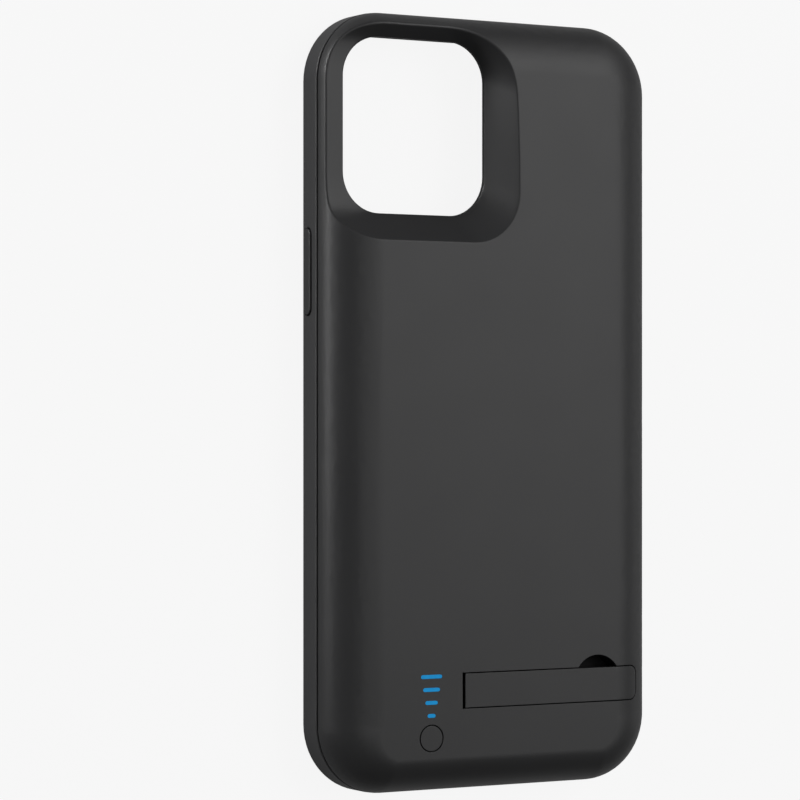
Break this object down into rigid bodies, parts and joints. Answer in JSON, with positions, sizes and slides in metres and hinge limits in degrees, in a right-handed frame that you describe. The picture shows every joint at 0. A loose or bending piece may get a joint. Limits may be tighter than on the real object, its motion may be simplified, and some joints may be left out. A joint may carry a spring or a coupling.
{
  "type": "battery charging case",
  "caption": "Black battery charging case for a large phone: soft bumper, rounded back shell, camera opening, flush kickstand, charge lights and power button.",
  "frame": {"origin": "on the surface that the front lip rests on, under the middle of the case", "axes": "+Z out of the rounded back, +Y along the case towards the camera opening, +X to the right as the back is seen"},
  "size_m": [0.0858, 0.1726, 0.016],
  "materials": {
    "cover_black": "fine satin moulding",
    "bumper_black": "smooth matte soft plastic",
    "tray_black": "fine matte moulding",
    "button_black": "satin",
    "steel": "bright",
    "light_blue": "clear, lit from behind",
    "part_black": "moulded",
    "part_white": "moulded",
    "cell_silver": "foil pouch",
    "tape_white": "adhesive tape",
    "foam_grey": "open foam",
    "board_green": "solder mask",
    "nickel": "plain",
    "copper": "tinned copper strap",
    "coil_grey": "pressed ferrite",
    "gold": "plated"
  },
  "bodies": {
    "case": {"back_cover": "cover_black", "bumper_frame": "bumper_black", "inner_tray": "tray_black", "kickstand_pin": "steel", "button_switch": "part_black", "light_guide": "light_blue", "light_chips": "part_white", "battery_cell": "cell_silver", "cell_tape": "tape_white", "foam_pad": "foam_grey", "cell_board": "board_green", "cell_tabs": "nickel", "cell_leads": "copper", "charge_board": "board_green", "charge_controller": "part_black", "power_coil": "coil_grey", "dock_board": "board_green", "dock_plug": "steel", "plug_collar": "part_white", "plug_contacts": "gold", "socket_shell": "steel", "socket_tongue": "part_black"},
    "kickstand": {"kickstand": "cover_black"},
    "power_button": {"power_button": "cover_black", "switch_plunger": "part_white"},
    "volume_up_button": {"volume_up_button": "button_black"},
    "volume_down_button": {"volume_down_button": "button_black"},
    "lock_button": {"lock_button": "button_black"}
  },
  "joints": [
    {"name": "kickstand_hinge", "type": "hinge", "parent": "case", "child": "kickstand", "pos_m": [-0.00823, -0.0638, 0.0147], "axis": [0, -1, 0], "range_deg": [0, 60]},
    {"name": "power_button_press", "type": "slide", "parent": "case", "child": "power_button", "axis": [0, 0, -1], "range_m": [0, 0.0003], "stiffness_N_per_m": 2500},
    {"name": "volume_up_press", "type": "slide", "parent": "case", "child": "volume_up_button", "axis": [-1, 0, 0], "range_m": [0, 0.0004], "stiffness_N_per_m": 2500},
    {"name": "volume_down_press", "type": "slide", "parent": "case", "child": "volume_down_button", "axis": [-1, 0, 0], "range_m": [0, 0.0004], "stiffness_N_per_m": 2500},
    {"name": "lock_press", "type": "slide", "parent": "case", "child": "lock_button", "axis": [1, 0, 0], "range_m": [0, 0.0004], "stiffness_N_per_m": 2500}
  ]
}
